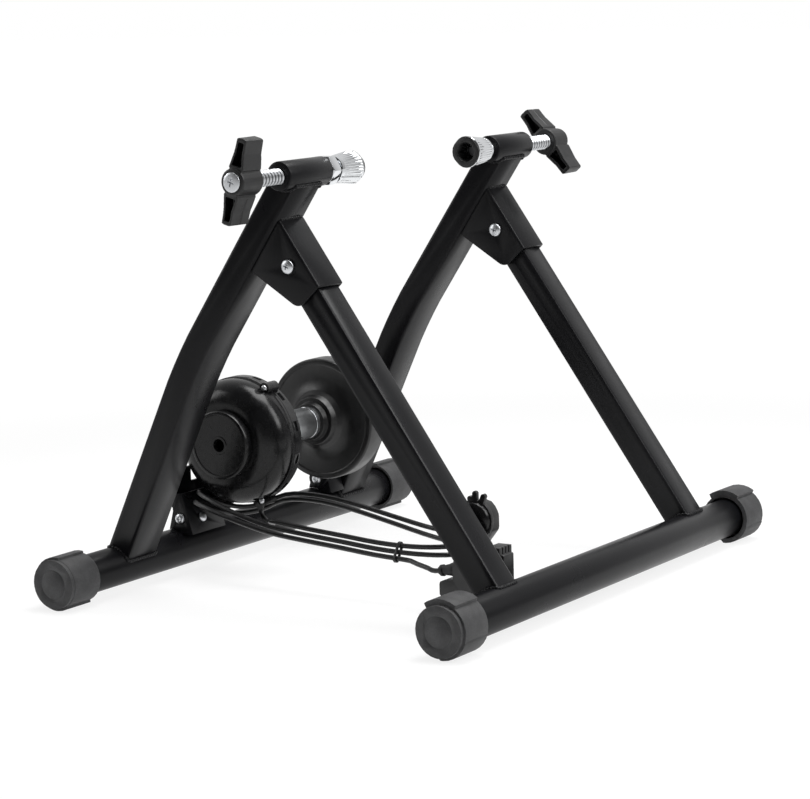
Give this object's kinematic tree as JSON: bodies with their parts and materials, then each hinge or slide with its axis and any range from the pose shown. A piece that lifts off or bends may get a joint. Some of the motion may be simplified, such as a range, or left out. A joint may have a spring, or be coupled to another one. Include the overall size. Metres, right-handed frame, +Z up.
{
  "type": "bike trainer",
  "caption": "Folding A-frame indoor bike trainer with wing-knob axle clamps, a magnetic roller resistance unit, stepped levelling feet and a coiled cable to a bar shifter.",
  "frame": {"origin": "on the floor, under the middle of the trainer's overall box", "axes": "+X along the wheel axle towards the flywheel side, +Y towards the resistance unit, +Z up; the bike faces -Y"},
  "size_m": [0.544, 0.4422, 0.412],
  "materials": {
    "black_paint": "gloss powder coat",
    "black_plastic": "satin moulded",
    "gloss_plastic": "gloss moulded",
    "black_rubber": "matt",
    "cable_sheath": "satin extruded",
    "zinc": "bright zinc plate",
    "chrome": "polished",
    "flywheel_black": "high gloss",
    "roller_steel": "satin turned"
  },
  "bodies": {
    "frame": {"rear_floor_tube": "black_paint", "rear_leg_right": "black_paint", "rear_leg_left": "black_paint", "fold_bracket_right": "black_paint", "fold_bracket_left": "black_paint", "clamp_tube_right": "black_paint", "clamp_tube_left": "black_paint", "pivot_bolt_right": "zinc", "pivot_bolt_left": "zinc", "pivot_nut_right": "zinc", "pivot_nut_left": "zinc", "unit_seat_right": "black_paint", "unit_seat_left": "black_paint", "unit_pivot_bolt_right": "zinc", "unit_pivot_bolt_left": "zinc", "web_bolt": "zinc", "control_cable": "cable_sheath", "cable_tie": "black_plastic"},
    "front_frame": {"front_floor_tube": "black_paint", "front_leg_right": "black_paint", "front_leg_left": "black_paint", "shifter_body": "black_plastic", "shifter_jaw": "black_plastic", "shifter_dial": "gloss_plastic", "cable_boot": "black_rubber"},
    "front_foot_right": {"front_cap_right": "black_plastic"},
    "front_foot_left": {"front_cap_left": "black_plastic"},
    "rear_foot_right": {"rear_cap_right": "black_plastic"},
    "rear_foot_left": {"rear_cap_left": "black_plastic"},
    "lock_ring": {"lock_nut": "chrome"},
    "right_cup": {"clamp_cup_right": "chrome", "cup_insert_right": "black_plastic"},
    "right_screw": {"clamp_spindle_right": "zinc", "clamp_knob_right": "black_plastic", "knob_screw_right": "chrome"},
    "left_cup": {"clamp_cup_left": "chrome", "cup_insert_left": "black_plastic"},
    "left_screw": {"clamp_spindle_left": "zinc", "clamp_knob_left": "black_plastic", "knob_screw_left": "chrome"},
    "unit_carrier": {"unit_arm_right": "black_paint", "unit_arm_left": "black_paint", "unit_cross_tube": "black_paint", "housing_back": "black_plastic", "housing_cover": "black_plastic", "boss_cap": "gloss_plastic", "cover_screw_1": "zinc", "cover_screw_2": "zinc", "cable_gland": "black_rubber", "bearing_left": "zinc", "bearing_right": "zinc"},
    "roller_shaft": {"roller": "roller_steel", "roller_axle": "zinc", "flywheel": "flywheel_black", "rotor_disc": "roller_steel"},
    "magnets": {"magnet_plate": "black_paint"},
    "lever": {"shifter_lever": "black_plastic"},
    "jack_shoe": {"jack_foot": "black_plastic"},
    "jack": {"jack_screw": "zinc", "jack_knob": "black_plastic"}
  },
  "joints": [
    {"name": "fold", "type": "hinge", "parent": "frame", "child": "front_frame", "pos_m": [0, -0.0045, 0.2993], "axis": [1, 0, 0], "range_deg": [0, 60], "deforming": ["control_cable", "cable_tie"]},
    {"name": "front_right_levelling", "type": "hinge", "parent": "front_frame", "child": "front_foot_right", "pos_m": [-0.253, -0.1975, 0.02397], "axis": [1, 0, 0], "continuous": true},
    {"name": "front_left_levelling", "type": "hinge", "parent": "front_frame", "child": "front_foot_left", "pos_m": [0.253, -0.1975, 0.02397], "axis": [1, 0, 0], "continuous": true},
    {"name": "rear_right_levelling", "type": "hinge", "parent": "frame", "child": "rear_foot_right", "pos_m": [-0.253, 0.1975, 0.02397], "axis": [1, 0, 0], "continuous": true},
    {"name": "rear_left_levelling", "type": "hinge", "parent": "frame", "child": "rear_foot_left", "pos_m": [0.253, 0.1975, 0.02397], "axis": [1, 0, 0], "continuous": true},
    {"name": "lock_nut_turn", "type": "hinge", "parent": "frame", "child": "lock_ring", "pos_m": [-0.1307, -0.0063, 0.3758], "axis": [1, 0, 0], "continuous": true},
    {"name": "right_clamp_travel", "type": "slide", "parent": "frame", "child": "right_cup", "axis": [1, 0, 0], "range_m": [-0.0036, 0.0375]},
    {"name": "right_clamp_turn", "type": "hinge", "parent": "right_cup", "child": "right_screw", "pos_m": [-0.11, -0.0063, 0.3758], "axis": [1, 0, 0], "range_deg": [-650, 6755]},
    {"name": "left_clamp_travel", "type": "slide", "parent": "frame", "child": "left_cup", "axis": [-1, 0, 0], "range_m": [-0.009, 0.04]},
    {"name": "left_clamp_turn", "type": "hinge", "parent": "left_cup", "child": "left_screw", "pos_m": [0.11, -0.0063, 0.3758], "axis": [-1, 0, 0], "range_deg": [-1625, 7205]},
    {"name": "unit_swing", "type": "hinge", "parent": "frame", "child": "unit_carrier", "pos_m": [0, 0.189, 0.052], "axis": [-1, 0, 0], "range_deg": [0, 25], "deforming": ["control_cable"]},
    {"name": "roller_spin", "type": "hinge", "parent": "unit_carrier", "child": "roller_shaft", "pos_m": [0, 0.145, 0.1223], "axis": [1, 0, 0], "continuous": true},
    {"name": "magnet_turn", "type": "hinge", "parent": "unit_carrier", "child": "magnets", "pos_m": [-0.07, 0.145, 0.1223], "axis": [-1, 0, 0], "range_deg": [0, 24]},
    {"name": "lever_turn", "type": "hinge", "parent": "front_frame", "child": "lever", "pos_m": [-0.138, -0.15, 0.086], "axis": [-1, 0, 0], "range_deg": [0, 100]},
    {"name": "jack_travel", "type": "slide", "parent": "unit_carrier", "child": "jack_shoe", "axis": [0, 0, 1], "range_m": [0, 0.0072]},
    {"name": "jack_turn", "type": "hinge", "parent": "jack_shoe", "child": "jack", "pos_m": [-0.025, 0.206, 0.08], "axis": [0, 0, 1], "range_deg": [0, 2020]}
  ],
  "couplings": [
    {"joint": "right_clamp_turn", "follows": "right_clamp_travel", "rad_per_m": 3141.6},
    {"joint": "left_clamp_turn", "follows": "left_clamp_travel", "rad_per_m": 3141.6},
    {"joint": "lever_turn", "follows": "magnet_turn", "ratio": 4.1666},
    {"joint": "jack_travel", "follows": "unit_swing", "m_per_rad": 0.016},
    {"joint": "jack_turn", "follows": "unit_swing", "ratio": 80.425}
  ]
}
